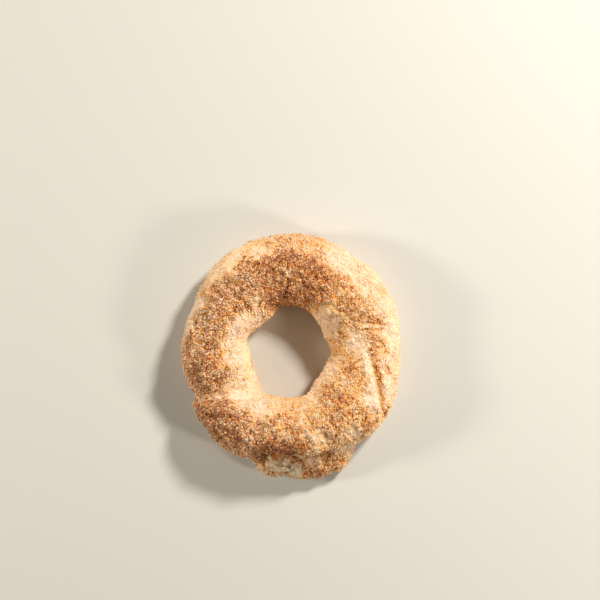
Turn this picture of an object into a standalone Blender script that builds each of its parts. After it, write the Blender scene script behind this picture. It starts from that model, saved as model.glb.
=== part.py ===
"""Olive oil ring cookie: one rope of dough bent into a ring, with its ends lapped and baked together.

The rope starts in a thin tail that pokes out at the front, runs clockwise once round the
ring, passes over its own tail and ends in a blunt stub at the front left. The cookie lies
on its flat underside, +Z up, with the origin under the middle of its bounding box.
Bearings are degrees anticlockwise from +X, seen from above. Sizes are in millimetres
until place_in_metres, which ends in metres.
"""

import math

import bmesh
import bpy
import numpy as np
from mathutils import Vector, noise

MM = 0.001

# The rope from tail to stub: bearing, inner radius, outer radius, height, gap below it.
# The bearings fall because the rope runs clockwise, and pass 0 as it comes round again.
ROPE = (
    (307, 27.0, 42.0, 8.5, 0.0),
    (292, 26.0, 44.3, 9.0, 0.0),
    (283, 25.0, 44.2, 9.5, 0.0),
    (270, 23.0, 42.6, 9.5, 0.0),
    (257, 20.5, 42.0, 10.0, 0.0),
    (249, 18.5, 38.4, 10.5, 0.0),
    (238, 16.3, 36.4, 12.5, 0.0),
    (222, 14.0, 35.0, 14.5, 0.0),
    (206, 13.3, 35.2, 16.0, 0.0),
    (194, 13.7, 36.7, 17.0, 0.0),
    (180, 14.0, 37.8, 17.0, 0.0),
    (163, 15.5, 37.3, 17.0, 0.0),
    (150, 15.3, 37.8, 17.5, 0.0),
    (136, 14.3, 39.7, 18.0, 0.0),
    (120, 14.1, 41.4, 18.0, 0.0),
    (101, 16.5, 41.2, 17.5, 0.0),
    (80, 16.5, 41.5, 17.5, 0.0),
    (62, 15.8, 40.6, 17.5, 0.0),
    (45, 14.1, 40.5, 17.5, 0.0),
    (25, 12.9, 39.8, 17.0, 0.0),
    (0, 13.9, 38.2, 16.5, 0.0),
    (-16, 12.8, 38.8, 17.5, 0.0),
    (-36, 12.4, 40.4, 18.5, 0.0),
    (-50, 12.8, 39.0, 19.0, 0.0),
    (-62, 14.2, 37.2, 19.5, 0.0),
    (-78, 15.1, 36.0, 20.0, 0.0),
    (-94, 15.4, 36.4, 20.0, 0.2),
    (-108, 15.4, 38.4, 19.5, 0.2),
    (-120, 16.4, 39.8, 19.0, 0.4),
    (-136, 16.4, 39.0, 18.2, 0.7),
    (-160, 16.4, 37.8, 17.2, 1.0),
)
TAIL_BEARING = 307.0
STUB_BEARING = -141.5
TAIL_CAP = 15.0  # degrees of rope that the tail takes to round off
STUB_CAP = 7.0
STUB_LIFT = 4.0  # how high the stub's very tip is above the tray
STUB_SLANT = 19.0  # degrees by which the stub's outer corner runs ahead of its middle
SLANT_RUN = 55.0  # degrees of rope over which that slant builds up

WIDEST_AT = 0.34  # share of the height at which the rope is widest
CROWN_POWER = 2.25  # 2 would make the rope's top half an ellipse
FLANK_POWER = 2.6  # the underside's corners
UNDERSIDE_DROP = 1.3  # how far past flat the lower half goes before the tray flattens it

# Places on the surface below are (x, y) from the middle of the hole, seen from above.
# Creases where the dough folded or split: points, depth, half width.
CREASES = (
    (((-0.6, 28.5), (-0.9, 25.0), (-1.9, 20.0), (-1.5, 17.5)), 0.9, 0.9),
    (((-19.5, 20.8), (-16.0, 17.6), (-12.8, 13.6)), 1.1, 0.8),
    (((15.2, 17.5), (18.5, 14.0), (21.5, 11.6), (25.3, 11.0), (29.6, 9.8), (34.0, 9.4)), 1.2, 1.1),
    (((21.5, 9.6), (27.2, 7.7), (34.0, 7.4)), 0.6, 0.7),
    (((26.8, 1.5), (28.3, -4.5), (30.2, -8.2), (30.7, -13.5), (31.6, -17.7), (33.6, -23.5)), 1.8, 1.1),
    (((4.6, -19.0), (6.6, -22.6), (8.0, -25.5)), 0.9, 0.8),
    (((14.5, -22.5), (11.0, -25.5), (12.5, -30.5)), 0.6, 1.0),
    (((-9.8, 18.2), (-11.5, 15.4)), 0.8, 0.9),
    (((-14.9, 32.2), (-13.5, 33.6)), 0.7, 0.5),
    (((-10.5, -13.6), (-19.0, -14.2), (-27.5, -14.6), (-34.0, -14.8)), 0.6, 0.9),
)
# Raised lips and folds, in the same form, with a height for the depth.
RIDGES = (
    (((25.2, 3.0), (26.0, -4.5), (28.2, -10.0), (28.6, -19.0)), 0.9, 1.5),
    (((-34.3, 17.0), (-34.0, 8.8), (-31.8, 2.6)), 0.6, 0.7),
    (((-34.0, 17.6), (-28.5, 24.5), (-20.0, 30.0), (-10.0, 33.5), (4.0, 35.8)), 0.5, 1.3),
    (((4.6, -21.5), (7.6, -28.0), (11.0, -34.2)), 0.7, 1.4),
    (((-6.4, 30.3), (-3.5, 29.8), (-1.0, 27.6)), 0.6, 0.8),
    (((-31.0, -18.0), (-22.0, -17.4), (-12.6, -16.8)), 0.6, 1.3),
)
# Broad swellings and hollows of the top: x, y, height, radius.
SWELLS = (
    (24.0, 16.0, 1.0, 6.0),
    (20.5, 2.5, -1.5, 6.0),
    (18.0, -16.0, 1.0, 6.5),
    (-20.0, -25.0, 0.8, 6.0),
    (-29.0, -4.0, 0.6, 7.0),
    (-12.0, 27.0, 0.6, 6.0),
    (0.5, 22.5, -0.7, 4.5),
    (-1.0, -30.0, 0.8, 6.0),
    (30.0, 24.0, 0.4, 6.0),
)
# The tail's torn front lip: where it is, and how rough.
TORN_LIP = (-2.0, -41.0)
TORN_REACH = 9.0
TORN_DEPTH = 0.9
TORN_GRAIN = 2.4

LUMP_DEPTH = 0.6
LUMP_SIZE = 6.5
PIMPLE_DEPTH = 0.35
PIMPLE_SIZE = 2.8

SIDES = 72  # points round the rope
RINGS = 420  # rings of points along it
VOXEL = 0.62  # grid on which the lapped ends are fused into one body
SMOOTH_PASSES = 4
SINK = 0.45  # how far the tray's flat is above the round underside's lowest points
TRIANGLES = 11500

CRUST_COLOUR = (0.62, 0.33, 0.13, 1.0)
CRUST_ROUGHNESS = 0.75


def clear_scene():
    for obj in list(bpy.data.objects):
        bpy.data.objects.remove(obj, do_unlink=True)


def rope_at(bearing):
    """Inner radius, outer radius, height and gap at each bearing, on a smooth curve through ROPE."""
    stations = np.array(ROPE)
    turns = stations[0, 0] - stations[:, 0]
    sizes = stations[:, 1:]
    slopes = np.gradient(sizes, turns, axis=0)
    turn = np.clip(stations[0, 0] - bearing, 0.0, turns[-1])
    k = np.clip(np.searchsorted(turns, turn, side="right") - 1, 0, len(turns) - 2)
    span = turns[k + 1] - turns[k]
    u = ((turn - turns[k]) / span)[:, None]
    span = span[:, None]
    found = (
        (1 + 2 * u) * (1 - u) ** 2 * sizes[k]
        + u * (1 - u) ** 2 * span * slopes[k]
        + u**2 * (3 - 2 * u) * sizes[k + 1]
        + u**2 * (u - 1) * span * slopes[k + 1]
    )
    return found.T


def rounded_off(distance, length, power):
    """1 along the rope, falling to 0 at its tip like the end of a sausage."""
    left = 1 - np.clip(distance / length, 0, 1)
    return (1 - left**power) ** (1 / power)


def signed_power(value, power):
    return np.sign(value) * np.abs(value) ** power


def rope_points(share, around):
    """Where the rope's skin is, share of the way from tail to stub and at an angle round it."""
    length = TAIL_BEARING - STUB_BEARING
    turn = share * length
    middle = TAIL_BEARING - turn
    across = signed_power(np.cos(around), 2 / CROWN_POWER)
    upward = signed_power(np.sin(around), 2 / np.where(np.sin(around) > 0, CROWN_POWER, FLANK_POWER))

    end = rounded_off(length - turn, STUB_CAP, 2.8)
    start = rounded_off(turn, TAIL_CAP, 2.2)
    slant = STUB_SLANT * np.clip(1 - (length - turn) / SLANT_RUN, 0, 1) ** 2
    bearing = middle - slant * across * end
    inner, outer, height, gap = rope_at(bearing)

    radius = (inner + outer) / 2 + (outer - inner) / 2 * across * end * start
    tall = (height - gap) * end**0.8 * start**0.8
    flat_share = np.where(upward > 0, 1 - WIDEST_AT, WIDEST_AT * UNDERSIDE_DROP)
    lift = gap + (1 - end) * STUB_LIFT
    z = lift + tall * np.maximum(WIDEST_AT + flat_share * upward, 0)
    angle = np.radians(bearing)
    return np.stack([radius * np.cos(angle), radius * np.sin(angle), z], axis=1)


def make_rope():
    """A ball rolled out into a rope: its poles become the two tips."""
    ball = bmesh.new()
    bmesh.ops.create_uvsphere(ball, u_segments=SIDES, v_segments=RINGS, radius=1.0)
    mesh = bpy.data.meshes.new("rope")
    ball.to_mesh(mesh)
    ball.free()
    points = vertices_of(mesh)
    share = np.arccos(np.clip(points[:, 2], -1, 1)) / math.pi
    around = np.arctan2(points[:, 1], points[:, 0])
    set_vertices(mesh, rope_points(share, around))
    rope = bpy.data.objects.new("rope", mesh)
    bpy.context.scene.collection.objects.link(rope)
    face_outwards(mesh)
    return rope


def vertices_of(mesh):
    flat = np.empty(len(mesh.vertices) * 3)
    mesh.vertices.foreach_get("co", flat)
    return flat.reshape(-1, 3)


def set_vertices(mesh, points):
    mesh.vertices.foreach_set("co", points.ravel())
    mesh.update()


def normals_of(mesh):
    flat = np.empty(len(mesh.vertices) * 3)
    mesh.vertex_normals.foreach_get("vector", flat)
    return flat.reshape(-1, 3)


def face_outwards(mesh):
    shape = bmesh.new()
    shape.from_mesh(mesh)
    bmesh.ops.recalc_face_normals(shape, faces=shape.faces)
    shape.to_mesh(mesh)
    shape.free()


def fuse(rope):
    """The lapped ends are one body after baking: a voxel remesh joins them."""
    remesh = rope.modifiers.new("fuse", "REMESH")
    remesh.mode = "VOXEL"
    remesh.voxel_size = VOXEL
    relax = rope.modifiers.new("relax", "SMOOTH")
    relax.factor = 0.5
    relax.iterations = SMOOTH_PASSES
    graph = bpy.context.evaluated_depsgraph_get()
    mesh = bpy.data.meshes.new_from_object(rope.evaluated_get(graph))
    bpy.data.objects.remove(rope, do_unlink=True)
    return mesh


def distance_to_line(flat, line):
    """How far each (x, y) is from a line of points, and how far along it, as a share."""
    corners = np.array(line)
    lengths = np.linalg.norm(np.diff(corners, axis=0), axis=1)
    passed = np.concatenate([[0.0], np.cumsum(lengths)])
    best = np.full(len(flat), np.inf)
    along = np.zeros(len(flat))
    for i, length in enumerate(lengths):
        step = (corners[i + 1] - corners[i]) / length
        reach = np.clip((flat - corners[i]) @ step, 0, length)
        away = np.linalg.norm(flat - corners[i] - reach[:, None] * step, axis=1)
        nearer = away < best
        best[nearer] = away[nearer]
        along[nearer] = (passed[i] + reach[nearer]) / passed[-1]
    return best, along


def line_relief(flat, lines):
    """Height of rounded welts along the lines, fading towards both of their ends."""
    height = np.zeros(len(flat))
    for line, tall, half_width in lines:
        away, along = distance_to_line(flat, line)
        fade = np.sqrt(np.clip(4 * along * (1 - along), 0.05, 1))
        height += tall * fade * np.exp(-((away / half_width) ** 2))
    return height


def swell_relief(flat):
    height = np.zeros(len(flat))
    for x, y, tall, radius in SWELLS:
        away = np.linalg.norm(flat - (x, y), axis=1)
        height += tall * np.exp(-((away / radius) ** 2))
    return height


def lumps(points, size, seed):
    """Smooth random bumps between -1 and 1 or so, of about that size."""
    shift = Vector((seed * 17.3, seed * 5.1, seed * 9.7))
    return np.array([noise.noise(Vector(p) / size + shift) for p in points])


def bake_relief(mesh):
    """Moves the skin out or in: folds and swellings on top, small lumps all over."""
    points, normals = vertices_of(mesh), normals_of(mesh)
    flat = points[:, :2]
    on_top = np.clip((normals[:, 2] + 0.15) / 0.5, 0, 1)
    move = on_top * (swell_relief(flat) + line_relief(flat, RIDGES) - line_relief(flat, CREASES))
    move += LUMP_DEPTH * lumps(points, LUMP_SIZE, 1) + PIMPLE_DEPTH * lumps(points, PIMPLE_SIZE, 2)
    torn = np.exp(-((np.linalg.norm(flat - TORN_LIP, axis=1) / TORN_REACH) ** 2))
    move += TORN_DEPTH * torn * lumps(points, TORN_GRAIN, 3)
    above_tray = np.clip((points[:, 2] - SINK) / 2.5, 0, 1)
    points += normals * (move * above_tray)[:, None]
    points[:, 2] = np.maximum(points[:, 2] - SINK, 0.0)
    set_vertices(mesh, points)


def thin_out(cookie):
    """Fewer triangles, kept where the surface bends most."""
    thin = cookie.modifiers.new("thin", "DECIMATE")
    cookie.data.calc_loop_triangles()
    thin.ratio = TRIANGLES / len(cookie.data.loop_triangles)
    graph = bpy.context.evaluated_depsgraph_get()
    thinned = bpy.data.meshes.new_from_object(cookie.evaluated_get(graph))
    cookie.modifiers.clear()
    cookie.data = thinned


def place_in_metres(mesh):
    """Sets the middle of the underside's box on the origin, and turns millimetres into metres."""
    points = vertices_of(mesh)
    low, high = points.min(axis=0), points.max(axis=0)
    middle = np.array([(low[0] + high[0]) / 2, (low[1] + high[1]) / 2, low[2]])
    print("the hole's middle is at", (-middle).round(3), "mm")
    set_vertices(mesh, (points - middle) * MM)


def crust_material():
    material = bpy.data.materials.new("baked_crust")
    material.use_nodes = True
    shader = material.node_tree.nodes["Principled BSDF"]
    shader.inputs["Base Color"].default_value = CRUST_COLOUR
    shader.inputs["Roughness"].default_value = CRUST_ROUGHNESS
    shader.inputs["Metallic"].default_value = 0.0
    return material


def main():
    clear_scene()
    mesh = fuse(make_rope())
    bake_relief(mesh)
    cookie = bpy.data.objects.new("ring_cookie", mesh)
    collection = bpy.data.collections.new("olive oil ring cookie")
    bpy.context.scene.collection.children.link(collection)
    collection.objects.link(cookie)
    thin_out(cookie)
    place_in_metres(cookie.data)
    cookie.data.materials.clear()
    cookie.data.materials.append(crust_material())
    cookie.data.shade_smooth()
    return cookie


main()
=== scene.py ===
# %% [markdown]
# # Olive oil ring cookie
#
# A cookie of this kind is one rope of olive oil dough, bent round until its blunt end laps over
# its thin tail, covered with coarse sugar and baked on a tray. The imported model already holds
# that form. It could be sculpted again from nothing, but then it would drift from the solid, so
# this lesson dresses the solid itself. The dough gets a finer skin with creased, torn and
# blistered places, a crust that browns where the oven reached it, and sugar as real grains.

import bpy
import numpy as np
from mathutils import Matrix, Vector, noise


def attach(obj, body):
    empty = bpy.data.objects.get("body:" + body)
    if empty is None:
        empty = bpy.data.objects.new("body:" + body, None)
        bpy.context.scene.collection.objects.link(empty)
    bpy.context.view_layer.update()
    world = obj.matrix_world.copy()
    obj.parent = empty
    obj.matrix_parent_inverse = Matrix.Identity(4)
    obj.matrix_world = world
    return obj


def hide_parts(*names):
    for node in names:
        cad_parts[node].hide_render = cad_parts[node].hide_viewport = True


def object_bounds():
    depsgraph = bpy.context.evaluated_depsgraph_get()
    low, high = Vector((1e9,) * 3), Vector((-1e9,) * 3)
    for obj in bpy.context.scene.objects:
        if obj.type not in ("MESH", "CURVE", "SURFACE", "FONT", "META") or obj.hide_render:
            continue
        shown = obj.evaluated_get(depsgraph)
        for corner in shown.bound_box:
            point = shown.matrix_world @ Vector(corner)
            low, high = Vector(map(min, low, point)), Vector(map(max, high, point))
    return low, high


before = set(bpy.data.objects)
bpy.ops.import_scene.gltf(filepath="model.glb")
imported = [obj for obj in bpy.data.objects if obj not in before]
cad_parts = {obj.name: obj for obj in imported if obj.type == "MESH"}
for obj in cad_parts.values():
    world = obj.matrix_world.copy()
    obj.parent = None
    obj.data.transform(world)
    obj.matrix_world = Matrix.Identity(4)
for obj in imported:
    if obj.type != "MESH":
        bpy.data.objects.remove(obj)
cad_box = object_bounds()
print("CAD box in mm:", [[round(v * 1000, 2) for v in corner] for corner in cad_box])

# %% [markdown]
# ## Measures
#
# Lengths are in millimetres, as a baker would measure them, and MM turns them into Blender's
# metres. Places on the ring are given from the middle of its hole, as seen from above: either
# (x, y), or a bearing in degrees anticlockwise from +X with a distance. They could be given from
# a corner of the box instead, but a ring is easier to read from its middle.

# %% Units
MM = 0.001
HOLE_MIDDLE = (-0.194, 0.970)
box_low, box_high = (np.array(corner) / MM for corner in cad_box)
print("the cookie is", np.round(box_high - box_low, 1), "mm in size")

# %% [markdown]
# ## The dough
#
# Baked dough is soft all over, but the solid is made of flat facets. Subdividing it would only
# round the facets' corners. A voxel remesh lays an even grid of small faces over the form
# instead, fine enough to carry cracks and blisters, and a little smoothing relaxes the grid until
# the facets are gone.

# %% Remesh a copy of the node
SKIN_VOXEL = 0.40
SKIN_SMOOTHING = 9


def fine_copy(node):
    """A copy of the node's mesh as one even, relaxed skin."""
    dough = bpy.data.objects.new("dough", node.data.copy())
    bpy.context.scene.collection.objects.link(dough)
    remesh = dough.modifiers.new("fine", "REMESH")
    remesh.mode = "VOXEL"
    remesh.voxel_size = SKIN_VOXEL * MM
    relax = dough.modifiers.new("relax", "SMOOTH")
    relax.factor = 0.5
    relax.iterations = SKIN_SMOOTHING
    graph = bpy.context.evaluated_depsgraph_get()
    mesh = bpy.data.meshes.new_from_object(dough.evaluated_get(graph))
    dough.modifiers.clear()
    dough.data = mesh
    mesh.name = "dough"
    return dough


dough = fine_copy(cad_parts["ring_cookie"])
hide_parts("ring_cookie")
skin = dough.data
print("dough:", len(skin.vertices), "points,", 2 * len(skin.polygons), "triangles at most")

# %% [markdown]
# ### All the points at once
#
# No two places on a cookie are alike, so each point of the skin needs a height, a colour and a
# share of sugar of its own. A loop over the points would be slow in Python. numpy arrays hold
# all of them at once, and foreach_get and foreach_set carry them out of the mesh and back.


# %% Points out of a mesh and back
def points_of(mesh):
    flat = np.empty(len(mesh.vertices) * 3)
    mesh.vertices.foreach_get("co", flat)
    return flat.reshape(-1, 3)


def normals_of(mesh):
    flat = np.empty(len(mesh.vertices) * 3)
    mesh.vertex_normals.foreach_get("vector", flat)
    return flat.reshape(-1, 3)


def move_points(mesh, points):
    mesh.vertices.foreach_set("co", points.ravel())
    mesh.update()


points = points_of(skin) / MM
flat = points[:, :2] - HOLE_MIDDLE
print("the skin is", round(float(np.ptp(points[:, 2])), 2), "mm high")

# %% [markdown]
# Everything on the dough has a soft edge. Three small curves give all of them: a step between
# two values, a bell round a place, and an arch along a line that is lower at both ends. The
# last helper measures how far each point is from a line of places.


# %% Soft edges
def smooth_step(low, high, value):
    """0 before low and 1 past high, softly between. With low above high it falls instead."""
    t = np.clip((value - low) / (high - low), 0, 1)
    return t * t * (3 - 2 * t)


def bell(away, reach):
    """1 in the middle and nearly nothing at twice the reach."""
    return np.exp(-((away / reach) ** 2))


def arch(along):
    """1 half way along a line and about a third at its ends."""
    return np.sqrt(np.clip(4 * along * (1 - along), 0.1, 1))


def distance_to_line(flat, line):
    """How far each (x, y) is from a line of places, and how far along it, as a share."""
    corners = np.array(line)
    lengths = np.linalg.norm(np.diff(corners, axis=0), axis=1)
    passed = np.concatenate([[0.0], np.cumsum(lengths)])
    best = np.full(len(flat), np.inf)
    along = np.zeros(len(flat))
    for i, length in enumerate(lengths):
        step = (corners[i + 1] - corners[i]) / length
        reach = np.clip((flat - corners[i]) @ step, 0, length)
        away = np.linalg.norm(flat - corners[i] - reach[:, None] * step, axis=1)
        nearer = away < best
        best[nearer] = away[nearer]
        along[nearer] = (passed[i] + reach[nearer]) / passed[-1]
    return best, along


# %% [markdown]
# ### Where the dough baked together
#
# In the corner where the rope lies on its own tail, and at the joint on the left, the raw dough
# sank down and filled the corner. The solid is plain there. The corners could be sculpted full
# by hand, but a brush can't be run again from a script, so the points along a line are lifted
# straight up. Each row is a line of places, the height of the lift and its half width.

# %% Fill the corners
FILLS = (
    (
        ((2.0, -36.4), (7.0, -35.9), (10.0, -35.0), (13.0, -34.6), (16.0, -33.9), (19.0, -33.1),
         (24.0, -30.8)),
        2.9, 2.3,
    ),
    (((-8.0, -14.6), (-14.0, -15.4), (-20.0, -15.5), (-26.0, -15.4), (-32.0, -15.2)), 1.9, 2.0),
)

above_tray = smooth_step(0.5, 4.0, points[:, 2]) * smooth_step(-0.4, 0.1, normals_of(skin)[:, 2])
lift = np.zeros(len(points))
for line, tall, half_width in FILLS:
    away, along = distance_to_line(flat, line)
    lift += tall * arch(along) * bell(away, half_width)
points[:, 2] += above_tray * lift
move_points(skin, points * MM)
normals = normals_of(skin)
print("the corners rose by up to", round(float((above_tray * lift).max()), 2), "mm")

# %% [markdown]
# ### Where each point is on the ring
#
# Browning and sugar change from the hole's edge to the outer edge and from bearing to bearing.
# A hand-rolled ring isn't round, so circles would miss its edges by millimetres. The tables
# give both edges, bearing by bearing, and each point gets its share across the rope: 0 at the
# hole and 1 at the outer edge.

# %% The edges of the ring
INNER_EDGE = (
    (0, 13.9), (15, 13.1), (30, 13.3), (45, 14.1), (60, 15.7), (75, 16.5), (90, 16.4), (105, 16.2),
    (120, 14.2), (135, 14.3), (150, 15.3), (165, 15.2), (180, 14.0), (195, 13.7), (210, 13.3),
    (225, 14.3), (240, 16.4), (250, 15.5), (270, 15.5), (285, 15.0), (300, 13.4), (315, 12.6),
    (330, 12.5), (345, 12.8),
)
OUTER_EDGE = (
    (0, 38.2), (15, 38.9), (30, 39.9), (45, 40.5), (60, 40.5), (75, 41.5), (90, 41.3), (105, 41.1),
    (120, 41.5), (135, 39.6), (150, 37.8), (165, 37.4), (180, 37.7), (195, 36.5), (205, 35.3),
    (210, 38.5), (225, 39.2), (240, 40.4), (250, 38.5), (270, 36.4), (285, 36.0), (300, 37.5),
    (315, 39.6), (330, 39.7), (345, 38.9),
)


def round_the_ring(table, bearing):
    """Reads a table of rows that start with a bearing, smoothly and all the way round."""
    rows = np.array(table, dtype=float)
    return [np.interp(bearing, rows[:, 0], column, period=360) for column in rows.T[1:]]


bearing = np.degrees(np.arctan2(flat[:, 1], flat[:, 0])) % 360
distance = np.linalg.norm(flat, axis=1)
(inner,) = round_the_ring(INNER_EDGE, bearing)
(outer,) = round_the_ring(OUTER_EDGE, bearing)
across = (distance - inner) / (outer - inner)
width = outer - inner
print("the rope is", round(float(width.min()), 1), "to", round(float(width.max()), 1), "mm wide")

# %% [markdown]
# The tail's lip sticks out past the outer edge at the front, low down. It counts as part of the
# top, because sugar fell on it too.

# %% Which way each point faces
TAIL_BEARINGS = (246, 312)
TAIL_TOP = 12.5

faces_up = smooth_step(-0.4, 0.1, normals[:, 2])
underside = smooth_step(0.6, 0.15, points[:, 2]) * smooth_step(-0.5, -0.9, normals[:, 2])
on_tail = smooth_step(0.0, 0.06, across - 1.0) * smooth_step(TAIL_TOP, TAIL_TOP - 2.5, points[:, 2])
on_tail *= (bearing > TAIL_BEARINGS[0]) & (bearing < TAIL_BEARINGS[1])
on_top = smooth_step(-0.1, 0.45, normals[:, 2])
on_top = np.maximum(on_top, 0.8 * on_tail * smooth_step(-0.3, 0.1, normals[:, 2]))
print("points on top:", int((on_top > 0.5).sum()), "and on the tail's lip:", int((on_tail > 0.5).sum()))

# %% [markdown]
# ### Chance
#
# Dough never repeats itself. Random numbers alone would be harsh from one point to the next.
# Blender's noise is smooth and gives the same lumps in each run. A size and a seed put each use
# in another part of the noise, so that effects don't share their spots. The first use lets
# creases fade here and there along their way.


# %% Random lumps
def lumps(points, size, seed, octaves=1):
    """Smooth random bumps, about -1 to 1, of about that size in millimetres."""
    shift = Vector((seed * 17.3, seed * 5.1, seed * 9.7))
    if octaves == 1:
        return np.array([noise.noise(Vector(p) / size + shift) for p in points])
    return np.array([noise.fractal(Vector(p) / size + shift, 0.9, 2.1, octaves) for p in points])


def wander(points, size, seed):
    """A smooth sideways shift, so that a line doesn't look ruled."""
    return np.stack([lumps(points, size, seed), lumps(points, size, seed + 1)], 1)


broken = np.clip(0.92 + 0.7 * lumps(points, 2.2, 36), 0.45, 1)
print("a crease fades to", round(float(broken.min()), 2), "of its strength along its way")

# %% [markdown]
# ### Creases and folds
#
# Rolling and bending left creases in the dough, thin ridges beside them and one curled flake.
# The solid holds the large ones in a coarse form. A bump map could draw the rest, but it is
# flat at the edge of the shape and missing from the exported mesh, so they are cut into the
# skin. Each row is a line of places, its depth (negative) or height, and its half width.

# %% Creases and folds
FOLDS = (
    (((-1.0, 26.4), (-0.9, 24.6)), -0.12, 0.5),
    (((-0.8, 25.5), (-1.6, 22.0), (-1.9, 19.6), (-1.5, 17.5)), 0.5, 0.9),
    (((-3.4, 29.6), (-2.2, 28.6), (-0.6, 27.2)), 0.6, 0.7),
    (((-5.4, 29.4), (-4.2, 28.6)), 0.45, 0.6),
    (((-19.5, 20.8), (-16.0, 17.6), (-12.8, 13.6)), -0.22, 0.9),
    (((15.5, 16.5), (19.0, 13.6), (23.0, 11.0)), 0.55, 1.6),
    (((27.0, 9.4), (32.6, 9.4)), 0.25, 0.5),
    (((25.5, 11.0), (27.9, 10.4), (31.3, 10.2), (34.1, 9.8)), -0.6, 0.6),
    (((24.4, 8.3), (29.2, 8.4), (33.4, 8.6)), -0.6, 0.6),
    (((28.6, -1.0), (29.2, -5.0), (30.1, -8.4), (30.6, -13.0), (31.8, -18.0)), -0.3, 0.85),
    (((29.2, -12.4), (30.0, -17.0), (31.2, -21.0)), 0.45, 1.1),
    (((33.5, -3.5), (34.2, -6.5)), -0.3, 0.5),
    (((4.6, -19.0), (6.6, -22.6), (8.0, -25.5)), -0.5, 0.4),
    (((-9.8, 18.2), (-11.5, 15.4)), -0.5, 0.4),
    (((-17.6, 30.9), (-16.4, 32.0), (-15.2, 33.8)), -0.9, 0.62),
    (((-8.6, -38.9), (-7.2, -39.1), (-5.0, -39.8)), -1.1, 0.5),
    (((-2.6, -39.8), (-1.0, -40.6)), -0.9, 0.4), (((-5.6, -41.2), (-2.8, -42.0)), -0.6, 0.45),
    (((3.2, -36.4), (4.6, -37.6), (3.6, -39.6), (4.4, -41.6)), -0.7, 0.5),
    (((-12.0, -35.4), (-5.0, -35.6), (-1.0, -35.2), (2.6, -36.2)), -2.0, 1.3),
    (((9.6, -35.4), (10.9, -38.6)), 0.8, 0.9),
    (((-24.0, -12.9), (-27.0, -13.4), (-31.4, -13.8)), -0.6, 0.5),
    (((15.2, -33.6), (13.2, -34.6), (12.6, -37.4)), -0.5, 0.6),
    (((-34.3, 17.0), (-34.0, 10.4), (-32.2, 4.0)), 0.28, 0.32),
    (((4.2, -21.5), (5.7, -26.1), (7.7, -29.1), (9.2, -33.5)), 0.35, 1.0),
)

fold_places = flat + 0.22 * wander(points, 2.0, 31)
fold_height = np.zeros(len(points))
crease = np.zeros(len(points))
for line, tall, half_width in FOLDS:
    away, along = distance_to_line(fold_places, line)
    shape = arch(along) * bell(away, half_width)
    fold_height += tall * shape
    if tall < 0:
        crease = np.maximum(crease, broken * shape)
print("creased points:", int((crease > 0.5).sum()))

# %% [markdown]
# Where the crust stretched open as the dough rose, it stays nearly white and holds little sugar. One row is
# painted light instead: the pale line at the right end of the tail's lobe stands in for light catching that
# edge. Each row is a line of places, its half width and how pale it gets.

# %% Stretched places and a painted highlight
STRETCHED_AND_LIT = (
    (((-11.5, -14.2), (-15.0, -13.9), (-19.0, -14.0)), 1.6, 0.5),
    (((-17.0, -14.8), (-21.0, -14.3), (-26.4, -14.9)), 1.9, 1.0),
    (((-25.0, -14.9), (-28.0, -15.0), (-31.5, -15.2)), 1.3, 0.95),
    (((-23.9, -9.2), (-22.4, -11.2), (-20.3, -12.7)), 1.0, 0.85),
    (((25.0, 2.4), (26.6, -5.0), (27.6, -11.0)), 2.2, 0.85),
    (((27.4, -11.0), (28.4, -19.0)), 2.2, 0.9), (((26.0, 9.4), (32.8, 9.3)), 0.6, 0.9),
    (((4.0, -21.5), (5.5, -26.1), (7.5, -29.1), (8.8, -32.5)), 1.2, 0.75),
    (((31.6, -2.6), (31.9, -5.6)), 0.9, 0.6), (((33.6, -7.5), (33.9, -11.0)), 1.4, 0.6),
    (((-3.4, 29.6), (-2.2, 28.6), (-0.6, 27.2)), 0.7, 0.75),
    # the first line here is painted light on the lobe's right edge, not stretched crust
    (((17.0, -34.6), (21.5, -33.0)), 2.0, 0.5), (((9.8, -35.4), (10.8, -37.8)), 0.7, 0.5),
)

stretched_and_lit_places = flat + 0.5 * wander(points, 1.6, 34)
stretched_and_lit = np.zeros(len(points))
for line, half_width, share in STRETCHED_AND_LIT:
    away, along = distance_to_line(stretched_and_lit_places, line)
    stretched_and_lit = np.maximum(stretched_and_lit, share * bell(away, half_width))
stretched_and_lit *= np.clip(0.90 + 0.9 * lumps(points, 1.0, 40), 0.3, 1)
print("stretched points:", int((stretched_and_lit > 0.5).sum()))

# %% [markdown]
# ### The torn lip
#
# The front of the tail tore and shows bare crumb: a few smooth lumps, with small sandy ones
# round them. Lumps with a mesh of their own would look stuck on, so the skin itself rises.
# Each row is a place, its reach and its height. The smooth lumps get flat tops from a higher
# power, and the sandy ones are only half bare.

# %% Lumps of crumb
CRUMB_LUMPS = (
    ((-6.0, -37.6), 2.4, 1.4), ((-3.3, -37.4), 2.5, 1.7), ((-0.8, -38.4), 2.1, 1.3),
    ((2.0, -40.2), 2.4, 1.2), ((-2.8, -39.4), 1.8, 0.6),
)
SANDY_LUMPS = (
    ((-4.5, -39.6), 5.5, 0.2), ((-10.0, -38.4), 1.8, 0.8), ((-8.4, -40.6), 1.6, 0.7),
    ((-5.6, -42.0), 1.4, 0.5), ((2.4, -42.0), 1.6, 0.4),
)

torn = np.zeros(len(points))
lump_wander = 0.5 * lumps(points, 1.8, 33)
for table, bareness, power in ((CRUMB_LUMPS, 1.0, 4), (SANDY_LUMPS, 0.5, 2)):
    for place, reach, tall in table:
        away = np.linalg.norm(flat - place, axis=1) + lump_wander
        torn = np.maximum(torn, bareness * smooth_step(1.3 * reach, 0.7 * reach, away))
        fold_height += tall * np.exp(-((away / reach) ** power))
torn *= smooth_step(14.0, 11.0, points[:, 2])
print("torn points:", int((torn > 0.5).sum()))

# %% [markdown]
# ### Browning
#
# The oven browned the crest of the rope and left the walls pale. A painted picture could show
# that, but it would have to be painted anew after each change of form. A table follows the
# form: each row is a bearing, the two distances between which the crust is brown there, and
# how brown it gets. The edges wander in and out by a few millimetres.

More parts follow.
